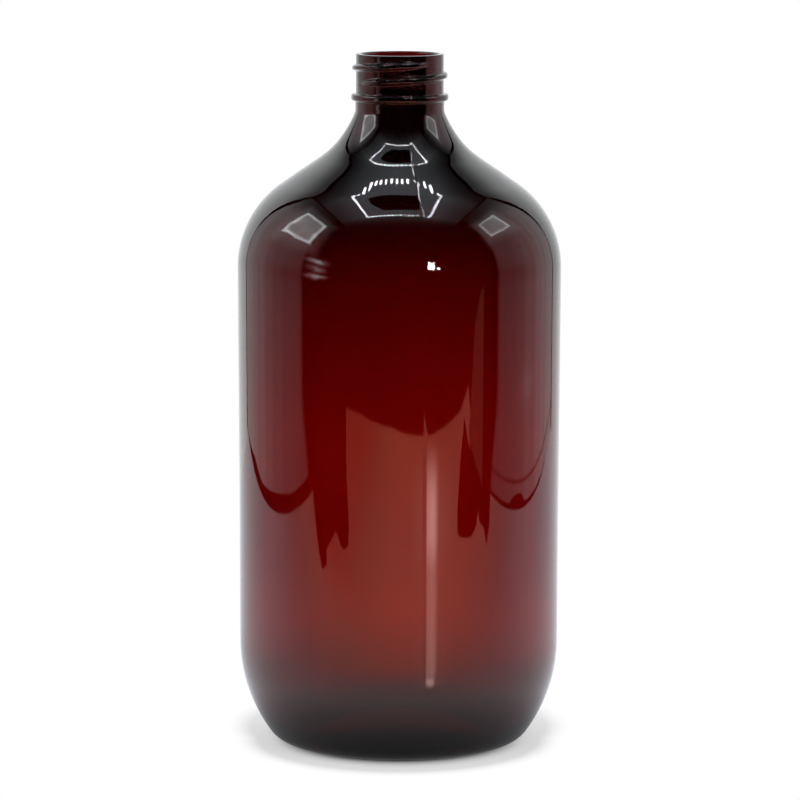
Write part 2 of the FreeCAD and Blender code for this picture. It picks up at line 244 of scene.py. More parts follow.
def trace_outside(section, s):
    """Base to rim, from the gate nub under the base up the outside.

    Each line or arc ends with the length of its steps.
    """
    top = s.height
    collar = s.neck_radius + s.collar_step
    waist = s.body_radius - s.body_taper
    slope = s.shoulder_slope
    square = math.pi / 2 - slope

    # neck to cone
    blend_c = Vector((collar + s.collar_blend, top - s.neck_length))
    blend_end = towards(blend_c, math.pi + s.collar_turn, s.collar_blend)
    flare_c = towards(blend_end, s.collar_turn, s.flare_radius)
    cone_top = towards(flare_c, math.pi + square, s.flare_radius)

    # cone, shoulder and body, which all touch: the loop settles a first guess
    body_top = 0.69 * top
    for _ in range(30):
        lean = math.atan2(s.body_taper, body_top - s.heel_height)
        across = s.body_radius - s.shoulder_radius * math.cos(lean)
        run = (across + s.shoulder_radius * math.sin(slope) - cone_top.x) / math.cos(slope)
        cone_end = towards(cone_top, -slope, run)
        shoulder_c = towards(cone_end, math.pi + square, s.shoulder_radius)
        body_top = shoulder_c.y - s.shoulder_radius * math.sin(lean)

    # heel, corner and ring
    heel_x = waist - s.heel_radius * math.cos(lean)
    heel_c = Vector((heel_x, s.heel_height + s.heel_radius * math.sin(lean)))
    rise = heel_c.y - s.corner_radius
    gap = s.heel_radius - s.corner_radius
    corner_c = Vector((heel_c.x + math.sqrt(gap * gap - rise * rise), s.corner_radius))
    corner_start = heel_c + (corner_c - heel_c) * (s.heel_radius / gap)
    land_in = corner_c.x - s.ring_land
    step = s.ring_blend - s.push_up
    push_r = (land_in**2 + step**2 - s.ring_blend**2) / (2 * s.push_up)
    push_c = Vector((0.0, s.push_up - push_r))
    fold_c = Vector((land_in, s.ring_blend))
    fold_start = push_c + (fold_c - push_c) * (push_r / (push_r + s.ring_blend))

    nub = s.gate_radius
    ledge = push_c.y + math.sqrt(push_r**2 - (NUB_FOOT * nub) ** 2)
    section.line(NUB_TIP * nub, s.push_up - s.gate_drop, 0.0005)
    section.line(NUB_SIDE * nub, s.push_up - NUB_SIDE_DROP * s.gate_drop, 0.0005)
    section.line(NUB_FOOT * nub, ledge, 0.0005)
    section.arc(push_c, fold_start.x, fold_start.y, 0.0021)
    section.arc(fold_c, land_in, 0.0, 0.0005)
    section.line(corner_c.x, 0.0, 0.0008)
    section.arc(corner_c, corner_start.x, corner_start.y, 0.0007)
    section.arc(heel_c, waist, s.heel_height, 0.0013)
    section.line(s.body_radius, body_top, 0.0022)
    section.arc(shoulder_c, cone_end.x, cone_end.y, 0.001)
    section.line(cone_top.x, cone_top.y, 0.0013)
    section.arc(flare_c, blend_end.x, blend_end.y, 0.0008)
    section.arc(blend_c, collar, blend_c.y, 0.0003)

    # bead
    low = top - s.bead_drop - s.bead_height / 2
    high = low + s.bead_height
    out = s.neck_radius + s.bead_reach
    r, k = s.bead_round, s.root_round
    section.line(collar, low - k, 0.0004)
    section.arc((collar + k, low - k), collar + k, low, 0.0001)
    section.line(out - r, low, 0.0004)
    section.arc((out - r, low + r), out, low + r, 0.00014)
    section.line(out, high - r, 0.0003)
    section.arc((out - r, high - r), out - r, high, 0.00014)
    section.line(s.neck_radius + k, high, 0.0004)
    section.arc((s.neck_radius + k, high + k), s.neck_radius, high + k, 0.0001)

    # threaded neck and rim
    section.line(s.neck_radius, top - THREADED_DROP, 0.00013)
    section.line(s.neck_radius, top - s.lip_round, 0.0003)
    lip = s.neck_radius - s.lip_round
    section.arc((lip, top - s.lip_round), lip, top, 0.0001)
    return dict(shoulder_c=shoulder_c, body_top=body_top, corner_c=corner_c, blend_c=blend_c, waist=waist)


def trace_inside(section, s, outside):
    """Rim to the middle of the floor, down the inside, from what tracing the outside found."""
    top = s.height
    bore = s.neck_radius - s.neck_wall
    blend_c, corner_c = outside["blend_c"], outside["corner_c"]
    dome_r = s.shoulder_radius - s.dome_ease
    throat_r = s.flare_radius + s.throat_ease
    gullet_r = blend_c.x - bore
    bowl_r = s.heel_radius - s.bowl_ease
    trough_r = s.corner_radius - s.trough_ease

    inner, inner_top = outside["waist"] - s.wall_low, s.body_radius - s.wall_top
    lean = math.atan2(inner_top - inner, outside["body_top"] - s.heel_height)
    up = Vector((math.sin(lean), math.cos(lean)))
    dome_c = Vector((inner_top - dome_r * math.cos(lean), outside["shoulder_c"].y))
    body_end = towards(dome_c, -lean, dome_r)

    flat = s.shoulder_slope - s.cone_thicken
    cone_end = towards(dome_c, math.pi / 2 - flat, dome_r)
    out = Vector((math.cos(math.pi / 2 - flat), math.sin(math.pi / 2 - flat)))
    uphill = Vector((-math.cos(flat), math.sin(flat)))
    aside = (blend_c - cone_end).dot(out) - throat_r
    run = (blend_c - cone_end).dot(uphill) - math.sqrt((throat_r - gullet_r) ** 2 - aside**2)
    cone_top = cone_end + uphill * run
    throat_c = cone_top + out * throat_r
    gorge = blend_c + (blend_c - throat_c).normalized() * gullet_r

    trough_c = Vector((corner_c.x, s.ring_wall + trough_r))
    foot = Vector((inner, s.heel_height)) - Vector((math.cos(lean), -math.sin(lean))) * bowl_r
    bowl_c = foot + up * along(foot, up, trough_c, bowl_r - trough_r)
    bowl_top = towards(bowl_c, -lean, bowl_r)
    bowl_end = bowl_c + (trough_c - bowl_c).normalized() * bowl_r
    floor = s.push_up + s.base_wall
    drop = trough_c.y - floor
    floor_r = (trough_c.x**2 + drop**2 - trough_r**2) / (2 * (floor - s.ring_wall))
    floor_c = Vector((0.0, floor - floor_r))
    trough_end = floor_c + (trough_c - floor_c).normalized() * floor_r

    section.line(bore + s.mouth_round, top, 0.0004)
    section.arc((bore + s.mouth_round, top - s.mouth_round), bore, top - s.mouth_round, 0.00016)
    section.line(bore, blend_c.y, 0.001)
    section.arc(blend_c, gorge.x, gorge.y, 0.0005)
    section.arc(throat_c, cone_top.x, cone_top.y, 0.0011)
    section.line(cone_end.x, cone_end.y, 0.0017)
    section.arc(dome_c, body_end.x, body_end.y, 0.0013)
    section.line(bowl_top.x, bowl_top.y, 0.0026)
    section.arc(bowl_c, bowl_end.x, bowl_end.y, 0.0018)
    section.arc(trough_c, trough_end.x, trough_end.y, 0.0009)
    section.arc(floor_c, 0.0, floor, 0.0024)


# ---------------------------------------------------------------- bottle

# the thread's section: how far its flanks run out, and how round its crest is
FLANK_RUN_OUT = 1.25
CREST_FLAT, CREST_ROUNDED = 0.6, 0.4
CREST_SHARPNESS = 1.15

# the gathered wall: it starts at the foot, and has its full measure so far below the rim
GATHER_FOOT, GATHER_DROP = 0.092, 0.051
GATHER_EVEN, GATHER_LATE, GATHER_POWER = 0.53, 0.47, 6
GATHER_MOST_EVEN, GATHER_MOST_LATE = 1.3, 1.05
GATHER_END_DROP, GATHER_END_RUN = 0.034, 0.012
WAIST_HEIGHT, WAIST_SPREAD, WAIST_SHARE = 0.052, 0.022, 0.18
THIN_HEIGHT, THIN_SPREAD, THIN_BY = 0.0095, 0.004, 0.00028

# the cone's crown and the flare's hollow, below the rim
EASED_ABOVE, EASED_WITHIN = 0.6, 0.045
CROWN_DROP, HOLLOW_DROP, EASE_SPREAD = 0.0342, 0.0262, 0.0026

# rows of vertices that make the parting line's ridge, in half widths from its middle
PARTING_ROWS = (-1.0, -0.4, 0.0, 0.4, 1.0)
PARTING_CLEAR, PARTING_STRIP = 0.008, 0.003

# noise layers of the wall's waves: scale, weight and shift
INSIDE_WAVES = ((34.0, 1.0, (3.1, 7.7, 1.9)), (78.0, 0.5, (0.0, 0.0, 0.0)))
OUTSIDE_WAVES = ((30.0, 1.0, (0.0, 0.0, 0.0)), (85.0, 0.35, (4.0, 2.0, 8.0)))
STREAKS_ROUND, STREAKS_UP, STREAKS_SHIFT = 5.0, 4.0, (9.2, 1.4, 5.5)
WAVE_SHARE, STREAK_SHARE = 0.6, 1.2
RIPPLE_FADE = 0.02

# where the outside's moves begin and end: heights, and drops below the rim
THREAD_END_DROP = 0.0012
WAVES_FROM, WAVES_END_DROP = 0.004, 0.001
PARTING_FROM = 0.0002
ON_NECK = 1e-5


def thread_height(s, turn, z):
    """How far the thread stands out of the neck at an angle from +X and a height."""
    crest, spread = s.thread_crest / 2, math.tan(s.thread_flank)
    best = 0.0
    first = (s.thread_start - turn) % FULL_TURN
    for lap in range(2):
        run = first + lap * FULL_TURN
        if run > s.thread_span:
            break
        fall = s.thread_lead * (1 + (s.thread_start - run) / FULL_TURN)
        middle = s.height - s.thread_drop + fall
        fade = min(run / s.thread_fade, (s.thread_span - run) / s.thread_fade, 1.0)
        fade = fade * fade * (3 - 2 * fade)
        depth = s.thread_depth * fade
        flank = depth * spread * FLANK_RUN_OUT
        off = abs(z - middle)
        if off < crest + flank:
            reach = (off - crest * CREST_FLAT) / (crest * CREST_ROUNDED + flank)
            reach = min(max(reach, 0.0), 1.0)
            best = max(best, depth * (0.5 + 0.5 * math.cos(math.pi * reach ** CREST_SHARPNESS)))
    return best


def hump(value, middle, spread):
    """1 in the middle, falling away smoothly on both sides."""
    return math.exp(-(((value - middle) / spread) ** 2))


def gathered(s, z):
    """How much thicker the blown wall is at a height than an even one would be."""
    full = s.height - GATHER_DROP
    t = max(0.0, (z - GATHER_FOOT) / (full - GATHER_FOOT))
    even = GATHER_EVEN * min(t, GATHER_MOST_EVEN)
    late = GATHER_LATE * min(t, GATHER_MOST_LATE) ** GATHER_POWER
    up = s.wall_gather * (even + late)
    up *= 1.0 - min(max((z - (s.height - GATHER_END_DROP)) / GATHER_END_RUN, 0.0), 1.0)
    waist = WAIST_SHARE * s.wall_gather * hump(z, WAIST_HEIGHT, WAIST_SPREAD)
    return up + waist - THIN_BY * hump(z, THIN_HEIGHT, THIN_SPREAD)


def waves(place, layers):
    """The sum of noise layers at a place."""
    return sum(weight * noise.noise(place * scale + Vector(shift)) for scale, weight, shift in layers)


def draw_section(mesh, s):
    """The wall's section, with a layer that marks the vertices of its inside."""
    section = Section(mesh, 0.0, s.push_up - s.gate_drop)
    found = trace_outside(section, s)
    outer = len(mesh.verts)
    square = math.pi / 2 - s.shoulder_slope
    for v in mesh.verts:
        if v.co.z > EASED_ABOVE * s.height and v.co.x < EASED_WITHIN:
            out = s.cone_crown * hump(v.co.z, s.height - CROWN_DROP, EASE_SPREAD)
            out -= s.flare_hollow * hump(v.co.z, s.height - HOLLOW_DROP, EASE_SPREAD)
            v.co += Vector((math.cos(square), 0.0, math.sin(square))) * out
    trace_inside(section, s, found)
    mesh.verts.ensure_lookup_table()

    # which vertices lie inside is told by their order along the section
    inside = mesh.verts.layers.int.new("inside")
    for order, v in enumerate(mesh.verts):
        v[inside] = 1 if order >= outer else 0
    return inside


def cut_parting_rows(mesh, s, inside):
    """Rows of vertices each side of the parting line, outside only, so that its ridge is crisp."""
    for side in (0.0, math.pi):
        ridge = s.parting_turn - math.pi / 2 + side
        for off in PARTING_ROWS:
            turn = ridge + off * s.parting_width / s.body_radius
            across = Vector((-math.sin(turn), math.cos(turn), 0.0))
            ahead = Vector((math.cos(turn), math.sin(turn), 0.0))
            near = [
                f for f in mesh.faces
                if f.calc_center_median().dot(ahead) > PARTING_CLEAR
                and abs(f.calc_center_median().dot(across)) < PARTING_STRIP
                and f.verts[0][inside] == 0
            ]
            edges = dict.fromkeys(e for f in near for e in f.edges)
            verts = dict.fromkeys(v for f in near for v in f.verts)
            geom = [*edges, *verts, *near]
            bmesh.ops.bisect_plane(mesh, geom=geom, dist=1e-6, plane_co=(0, 0, 0), plane_no=across)
    bmesh.ops.triangulate(mesh, faces=[f for f in mesh.faces if len(f.verts) > 4])


def move_inside(s, v, out):
    """How a vertex of the inside moves: waves in the wall, and the gathered wall."""
    place = v.co
    wave = waves(place, INSIDE_WAVES)
    round_axis = Vector((out.x * STREAKS_ROUND, out.y * STREAKS_ROUND, place.z * STREAKS_UP))
    streak = noise.noise(round_axis + Vector(STREAKS_SHIFT))
    ease = min(max((s.height - s.neck_length - place.z) / RIPPLE_FADE, 0.0), 1.0)
    ripple = out * s.ripple_in * ease * (WAVE_SHARE * wave + STREAK_SHARE * streak)
    return ripple + v.normal * gathered(s, place.z)


def push_outside(s, place, radius):
    """How far a place on the outside moves out: thread, faint waves and the parting line."""
    low = s.height - s.bead_drop + s.bead_height / 2 + s.root_round
    push = 0.0
    if low < place.z < s.height - THREAD_END_DROP and abs(radius - s.neck_radius) < ON_NECK:
        push += thread_height(s, math.atan2(place.y, place.x), place.z)
    elif WAVES_FROM < place.z < s.height - WAVES_END_DROP:
        push -= s.ripple_out * (1.0 + waves(place, OUTSIDE_WAVES)) / 2.0
    if radius > PARTING_CLEAR and place.z > PARTING_FROM:
        turn = math.atan2(place.y, place.x) - (s.parting_turn - math.pi / 2)
        turn = (turn + math.pi / 2) % math.pi - math.pi / 2
        near = abs(turn) * radius / s.parting_width
        if near < 1.0:
            push += s.parting_height * (1.0 - near)
    return push


def shape_bottle(mesh, s):
    """Sections the wall, turns it about the axis, and raises the thread and the parting line."""
    inside = draw_section(mesh, s)
    bmesh.ops.spin(
        mesh, geom=mesh.verts[:] + mesh.edges[:], cent=(0, 0, 0), axis=(0, 0, 1), dvec=(0, 0, 0),
        angle=FULL_TURN, steps=s.around, use_merge=True, use_normal_flip=False, use_duplicate=False,
    )
    bmesh.ops.remove_doubles(mesh, verts=mesh.verts[:], dist=1e-6)
    cut_parting_rows(mesh, s, inside)
    bmesh.ops.recalc_face_normals(mesh, faces=mesh.faces[:])
    mesh.normal_update()

    # all moves are worked out before any is made
    moves = []
    for v in mesh.verts:
        out = Vector((v.co.x, v.co.y, 0.0))
        radius = out.length
        if radius < 1e-4:
            continue
        out /= radius
        moves.append((v, move_inside(s, v, out) if v[inside] else out * push_outside(s, v.co, radius)))
    for v, move in moves:
        v.co += move


def new_piece(name, mesh, smooth=True):
    """An object at the origin from a finished mesh."""
    data = bpy.data.meshes.new(name)
    mesh.to_mesh(data)
    mesh.free()
    if smooth:
        data.shade_smooth()
    piece = bpy.data.objects.new(name, data)
    bpy.context.scene.collection.objects.link(piece)
    return piece


# ---------------------------------------------------------------- materials

class Nodes:
    """The node tree of a material or a world, and short ways to add to it."""

    def __init__(self, owner):
        owner.use_nodes = True
        self.tree = owner.node_tree
        self.tree.nodes.clear()

    def add(self, kind, **inputs):
        """A node, with values for its inputs."""
        node = self.tree.nodes.new(kind)
        for name, value in inputs.items():
            node.inputs[name.replace("_", " ")].default_value = value
        return node

    def link(self, source, target):
        self.tree.links.new(source, target)

    def maths(self, operation, first, second=None):
        node = self.add("ShaderNodeMath")
        node.operation = operation
        for socket, value in zip(node.inputs, (first, second)):
            if hasattr(value, "links"):
                self.link(value, socket)
            elif value is not None:
                socket.default_value = value
        return node.outputs[0]

    def times(self, first, *others):
        for other in others:
            first = self.maths("MULTIPLY", first, other)
        return first

    def plus(self, first, *others):
        for other in others:
            first = self.maths("ADD", first, other)
        return first

    def minus(self, first, second):
        return self.maths("SUBTRACT", first, second)

    def larger(self, first, second):
        return self.maths("MAXIMUM", first, second)

    def ramp(self, value, low, high, least=0.0, most=1.0, smooth=True):
        """value from low to high, mapped to least to most and held there."""
        node = self.add("ShaderNodeMapRange")
        node.interpolation_type = "SMOOTHSTEP" if smooth else "LINEAR"
        self.link(value, node.inputs["Value"])
        for name, number in (("From Min", low), ("From Max", high), ("To Min", least), ("To Max", most)):
            node.inputs[name].default_value = number
        return node.outputs["Result"]

    def bump(self, value, middle, spread):
        """1 in the middle, falling away smoothly on both sides."""
        off = self.maths("DIVIDE", self.minus(value, middle), spread)
        return self.maths("EXPONENT", self.times(off, off, -1.0))

    def away(self, value, middle):
        """Distance from the middle."""
        return self.maths("ABSOLUTE", self.minus(value, middle))

    def place(self, scaled=(1, 1, 1)):
        """Object coordinates, scaled."""
        coordinates = self.add("ShaderNodeTexCoord")
        mapping = self.add("ShaderNodeMapping", Scale=scaled)
        self.link(coordinates.outputs["Object"], mapping.inputs["Vector"])
        return mapping.outputs["Vector"]

    def split(self, vector):
        node = self.add("ShaderNodeSeparateXYZ")
        self.link(vector, node.inputs[0])
        return node.outputs["X"], node.outputs["Y"], node.outputs["Z"]

    def reach(self, vector):
        """Length of a vector."""
        node = self.add("ShaderNodeVectorMath")
        node.operation = "LENGTH"
        self.link(vector, node.inputs[0])
        return node.outputs["Value"]

    def cloud(self, vector, scale, detail=2.0, rough=0.5, distortion=0.0):
        node = self.add(
            "ShaderNodeTexNoise", Scale=scale, Detail=detail, Roughness=rough, Distortion=distortion,
        )
        self.link(vector, node.inputs["Vector"])
        return node.outputs["Fac"]

    def surface(self, shader, volume=None):
        """Ends the tree in a surface, and in a volume where there is one."""
        out = self.add("ShaderNodeOutputMaterial")
        self.link(shader.outputs[0], out.inputs["Surface"])
        if volume is not None:
            self.link(volume.outputs["Volume"], out.inputs["Volume"])


FLOW_MARK_DEPTH = 0.000012


def amber_plastic(finish):
    """Clear amber-red PET: tinted faces, a colour that deepens with the wall, faint scuffs, flow marks."""
    material = bpy.data.materials.new("amber_pet_clear")
    n = Nodes(material)
    shader = n.add(
        "ShaderNodeBsdfPrincipled", Base_Color=(*finish.tint, 1.0), IOR=finish.ior, Transmission_Weight=1.0,
    )
    depth = n.add("ShaderNodeVolumeAbsorption", Color=(*finish.depth_colour, 1.0), Density=finish.depth)

    # handled patches are a little duller
    patches = n.cloud(n.place(), 26.0, 4.0, 0.6)
    fine = n.cloud(n.place((1.0, 1.0, 0.25)), 420.0, 2.0, 0.6)
    dull = n.times(n.ramp(patches, 0.52, 0.74), n.ramp(fine, 0.35, 0.75))
    n.link(n.ramp(dull, 0.0, 1.0, finish.gloss, finish.scuff, smooth=False), shader.inputs["Roughness"])

    # flow marks run down the wall
    flow = n.cloud(n.place((1.0, 1.0, 0.12)), 95.0, 2.0, 0.5)
    marks = n.add("ShaderNodeBump", Strength=1.0, Distance=FLOW_MARK_DEPTH)
    n.link(flow, marks.inputs["Height"])
    n.link(marks.outputs["Normal"], shader.inputs["Normal"])
    n.surface(shader, depth)
    return material


def glow(name, light, strength=1.0):
    """A plain glowing surface."""
    material = bpy.data.materials.new(name)
    n = Nodes(material)
    n.surface(n.add("ShaderNodeEmission", Color=(*light, 1.0), Strength=strength))
    material.cycles.emission_sampling = "NONE"
    return material


def white_floor():
    """White floor with the bottle's soft shadow close round its base, painted plain white further out, where
    the camera sees white emission over the shadow.
    """
    material = bpy.data.materials.new("floor_white")
    n = Nodes(material)
    matt = n.add("ShaderNodeBsdfDiffuse", Color=(1.0, 1.0, 1.0, 1.0))
    white = n.add("ShaderNodeEmission")
    rays = n.add("ShaderNodeLightPath")

    # painted light: beyond a ring round the base the camera sees white emission in place of the shaded
    # floor; the ring lies a little further out behind the bottle, so the shadow reaches a little further
    # behind the bottle than in front and beside it
    _, y, _ = n.split(n.place())
    behind = n.times(n.larger(y, 0.0), 0.32)
    off = n.minus(n.reach(n.place((1.08, 0.95, 1.0))), behind)
    far = n.larger(n.ramp(off, 0.029, 0.0405, 0.0, 0.47), n.ramp(off, 0.037, 0.052))
    mix = n.add("ShaderNodeMixShader")
    n.link(n.times(far, rays.outputs["Is Camera Ray"]), mix.inputs[0])
    n.link(matt.outputs["BSDF"], mix.inputs[1])
    n.link(white.outputs["Emission"], mix.inputs[2])
    n.surface(mix)
    material.cycles.emission_sampling = "NONE"
    return material


def cloth(name):
    """A cloth for the tent, still dark: its material, its nodes, and X, Y and Z along it."""
    material = bpy.data.materials.new(name)
    n = Nodes(material)
    material.cycles.emission_sampling = "NONE"
    return (material, n, *n.split(n.place()))


def light_cloth(n, red, green, blue):
    """Lets a cloth glow in three worked-out channels."""
    mixed = n.add("ShaderNodeCombineColor")
    for channel, socket in zip((red, green, blue), mixed.inputs):
        n.link(channel, socket)
    shader = n.add("ShaderNodeEmission")
    n.link(mixed.outputs[0], shader.inputs["Color"])
    n.surface(shader)


# the glare on the tent's floor: where it starts, how it heads, and its colour
GLARE_X, GLARE_Y = 0.0095, -0.0456
GLARE_HEADING = math.radians(23.5)
GLARE_LIGHT = 1.12
GLARE_RED, GLARE_BLUE = 1.7, 0.87


def glare_light(n, x, y):
    """A band of light that runs from under the bottle towards the front lamp."""
    dx, dy = n.minus(x, GLARE_X), n.minus(y, GLARE_Y)
    run, rise = math.sin(GLARE_HEADING), math.cos(GLARE_HEADING)
    ahead = n.minus(n.times(dx, run), n.times(dy, rise))
    across = n.plus(n.times(dx, rise), n.times(dy, run))
    wide = n.maths("DIVIDE", n.maths("ABSOLUTE", across), n.larger(ahead, 0.01))

    # it starts close to the base, brightens far out, and has a knot near its start
    strength = n.plus(n.ramp(ahead, 0.043, 0.053, 0.0, 1.05), n.times(n.ramp(ahead, 0.30, 0.39), 1.35))
    strength = n.plus(strength, n.times(n.bump(ahead, 0.062, 0.009), 1.2))
    core, veil = n.ramp(wide, 0.105, 0.015), n.ramp(wide, 0.36, 0.0, 0.0, 0.13)
    return n.times(strength, GLARE_LIGHT, n.ramp(ahead, 0.62, 0.44), n.plus(core, veil))


def tent_floor_cloth():
    """The tent's floor and front flap as the bottle mirrors them.

    Bright at the back, dimmer and red in front with the light that the bottle casts, and glare.
    """
    material, n, x, y, _ = cloth("tent_floor_cloth")
    # painted light of the cloth: brighter towards the back, dimmer at both sides and at the front left
    level = n.plus(n.ramp(y, -0.65, -0.30, 0.52, 0.66), n.ramp(y, -0.15, 0.06, 0.0, 0.33))
    level = n.plus(level, n.ramp(y, 0.06, 0.45, 0.0, 0.2))
    level = n.times(level, n.ramp(n.maths("ABSOLUTE", x), 0.12, 0.46, 1.0, 0.80))
    left = n.minus(1.0, n.times(n.ramp(x, -0.02, -0.30, 0.0, 0.45), n.ramp(y, -0.18, -0.30)))
    # painted shadow: the cloth is darker close round the base, where the bottle shades it
    under = n.ramp(n.reach(n.place()), 0.028, 0.078, 0.15, 1.0)
    level = n.times(level, left, under)

    # painted light: the red that the bottle casts, out in front, and less at both sides
    warm = n.plus(0.65, n.times(n.bump(x, 0.04, 0.20), 0.85))
    red = n.plus(level, n.times(n.ramp(y, -0.08, -0.30), warm))
    aside = n.ramp(n.away(x, -0.02), 0.10, 0.26, 0.0, 0.42)
    red = n.plus(red, n.times(aside, n.ramp(y, 0.30, 0.0)))
    cool = n.plus(n.ramp(y, -0.62, -0.42, 0.62, 0.70), n.ramp(y, -0.30, 0.0, 0.0, 0.36))
    blue = n.times(level, cool)

    glare = glare_light(n, x, y)
    red, blue = n.plus(red, n.times(glare, GLARE_RED)), n.plus(blue, n.times(glare, GLARE_BLUE))
    light_cloth(n, red, n.plus(level, glare), blue)
    return material


# a flap's creases at the left wall's front, low to high: height, spread and light of each
FLAP_CREASES = ((0.252, 0.018, 3.8), (0.19, 0.020, 1.3), (0.125, 0.016, 3.0))
# the right wall's second seam: its height, and the pale light over it
SEAM_HEIGHT = 0.0155


def tent_wall_cloth(name, hot, half, inner, rim, front, flap):
    """White cloth lit from outside.

    A lamp's hot rectangle lies half way up, round the point hot and half so large, brighter at
    its rim than inside it. The cloth ends at front, and flap says where a creased flap hangs.
    """
    material, n, _, y, z = cloth(name)
    creases = n.cloud(n.place(), 9.0, 3.0, 0.6, 0.5)
    folds = n.cloud(n.place((1.0, 1.0, 0.06)), 22.0, 2.0, 0.5)

    # plain cloth: bright at the back, dim at the front and the top, with a dip low in front
    level = n.ramp(y, -0.20, 0.32, 0.26, 0.70)
    dip = n.times(n.bump(z, 0.13, 0.045), n.ramp(y, 0.20, -0.05), 0.35)
    level = n.times(level, n.minus(1.0, dip), n.ramp(z, 0.44, 0.76, 1.0, 0.2))
    # painted shade: the cloth's folds make it lighter and darker in long upright streaks
    level = n.times(level, n.ramp(folds, 0.3, 0.7, 0.88, 1.12))
    level = n.times(level, n.ramp(n.plus(y, n.ramp(z, 0.0, 0.05, 0.05, 0.0)), front - 0.012, front + 0.022))

    # the hot rectangle, 1 at its edge
    off_y = n.maths("DIVIDE", n.away(y, hot[0]), half[0])
    off_z = n.maths("DIVIDE", n.away(z, hot[1]), half[1])
    off = n.plus(n.larger(off_y, off_z), n.ramp(creases, 0.3, 0.7, -0.06, 0.06))
    inside = n.times(n.ramp(off, 1.10, 0.94), n.plus(inner, n.ramp(off, 0.70, 0.94, 0.0, rim - inner)))
    # painted light: creases make the lamp's hot rectangle patchy, lighter and darker
    inside = n.times(inside, n.ramp(creases, 0.3, 0.7, 0.75, 1.25))
    total = n.plus(level, inside, n.times(n.ramp(off, 2.0, 1.0), 0.40))

    if flap is not None:
        # painted highlights: bands of light along the flap's creases
        sag = n.plus(z, n.ramp(n.cloud(n.place(), 8.0, 2.0), 0.3, 0.7, -0.012, 0.012))
        high, middle, low = (n.times(n.bump(sag, at, spread), light) for at, spread, light in FLAP_CREASES)
        lit = n.plus(high, n.plus(middle, low))
        total = n.plus(total, n.times(lit, n.bump(y, flap, 0.06), n.ramp(creases, 0.35, 0.6, 0.4, 1.1)))
    else:
        total = n.plus(total, n.times(n.bump(z, 0.050, 0.006), n.bump(y, 0.07, 0.05), 0.22))
        total = n.times(total, n.ramp(n.away(z, SEAM_HEIGHT), 0.0003, 0.0014, 0.35, 1.0))

    # the red that the bottle throws on the lower wall
    bounce = n.times(n.ramp(z, 0.32, 0.72, 0.38, 0.0), n.ramp(y, 0.12, 0.38, 1.0, 0.35))
    red = n.plus(n.times(total, 0.94), n.times(bounce, n.ramp(total, 0.02, 0.2)))
    light_cloth(n, red, total, n.times(total, 1.02))
    return material


def tent_back_cloth():
    """The back of the tent: bright low down, dim towards the top."""
    material, n, x, _, z = cloth("tent_back_cloth")
    level = n.times(n.ramp(z, 0.42, 0.76, 1.05, 0.22), n.ramp(x, 0.15, 0.45, 1.0, 0.8))
    level = n.times(level, n.ramp(z, 0.0, 0.10, 1.15, 1.0))
    light_cloth(n, n.times(level, 0.98), level, n.times(level, 1.01))
    return material


# the ceiling is brightest within these bounds, and its light falls off past them
LIT_MIDDLE, LIT_HALF, LIT_FRONT, LIT_BACK = -0.006, 0.20, -0.215, 0.155
FRONT_FALL, BACK_FALL, FALL_RUN = 3.2, 1.45, -0.16
CEILING_LIGHT = 0.64


def tent_ceiling_cloth():
    """The ceiling, lit by the lamp frame under it: brightest beside the frame."""
    material, n, x, y, _ = cloth("tent_ceiling_cloth")
    beside = n.larger(n.minus(n.away(x, LIT_MIDDLE), LIT_HALF), 0.0)
    ahead = n.larger(n.minus(LIT_FRONT, y), 0.0)
    behind = n.larger(n.minus(y, LIT_BACK), 0.0)
    off = n.plus(beside, n.times(ahead, FRONT_FALL), n.times(behind, BACK_FALL))
    level = n.times(n.maths("EXPONENT", n.maths("DIVIDE", off, FALL_RUN)), CEILING_LIGHT)
    light_cloth(n, n.times(level, 0.9), level, n.times(level, 1.08))
    return material


# ---------------------------------------------------------------- stage

# the tent floor's edge, from the back left corner round the front to the back right one
FLOOR_LEFT, FLOOR_RIGHT = -0.46, 0.47
FLOOR_EDGE = [
    (-0.46, -0.25), (-0.327, -0.221), (-0.284, -0.215), (-0.280, -0.236), (-0.305, -0.257),
    (-0.301, -0.313), (-0.289, -0.318), (-0.261, -0.313), (-0.241, -0.318), (-0.231, -0.337),
    (-0.255, -0.376), (-0.359, -0.484), (-0.446, -0.595), (-0.329, -0.650), (-0.179, -0.679),
    (-0.053, -0.688), (0.121, -0.659), (0.204, -0.636), (0.324, -0.602), (0.435, -0.565),
    (0.504, -0.537), (0.609, -0.531), (0.554, -0.456), (0.479, -0.407), (0.513, -0.500),
    (0.408, -0.443), (0.308, -0.365), (0.279, -0.328), (0.295, -0.302), (0.324, -0.272),
    (0.360, -0.260), (0.401, -0.270), (0.380, -0.250), (0.383, -0.220), (0.356, -0.188),
    (0.398, -0.190), (0.47, -0.213),
]

# each side wall's foot, front to back: Y and height
LEFT_FOOT = [
    (-0.45, 0.10), (-0.25, 0.012), (-0.17, 0.011), (-0.09, 0.0105), (-0.01, 0.011), (0.08, 0.0100),
    (0.17, 0.0085), (0.27, 0.0105), (0.36, 0.007),
]
RIGHT_FOOT = [
    (-0.20, 0.0072), (-0.06, 0.0072), (-0.035, 0.0100), (0.0, 0.0112), (0.03, 0.0105), (0.06, 0.0072),
    (0.20, 0.0071),
]
FLAP_CORNERS = [(-0.385, 0.012), (-0.262, 0.004), (-0.258, 0.085), (-0.33, 0.062)]

# the opening in the ceiling, and the lamp frame that hangs under it
CEILING_HOLE = [
    (-0.147, -0.02), (-0.150, 0.095), (-0.099, 0.122), (0.058, 0.116), (0.106, 0.122), (0.118, -0.123),
    (-0.094, -0.129),
]
LAMP_FRAME = [
    (-0.212, -0.215), (0.202, -0.215), (0.190, 0.180), (0.135, 0.176), (0.08, 0.158), (0.0, 0.149),
    (-0.08, 0.162), (-0.15, 0.182), (-0.222, 0.172),
]
LAMP_SIZE, LAMP_PITCH, LAMP_DROP = (0.0085, 0.013), 0.0255, 0.004

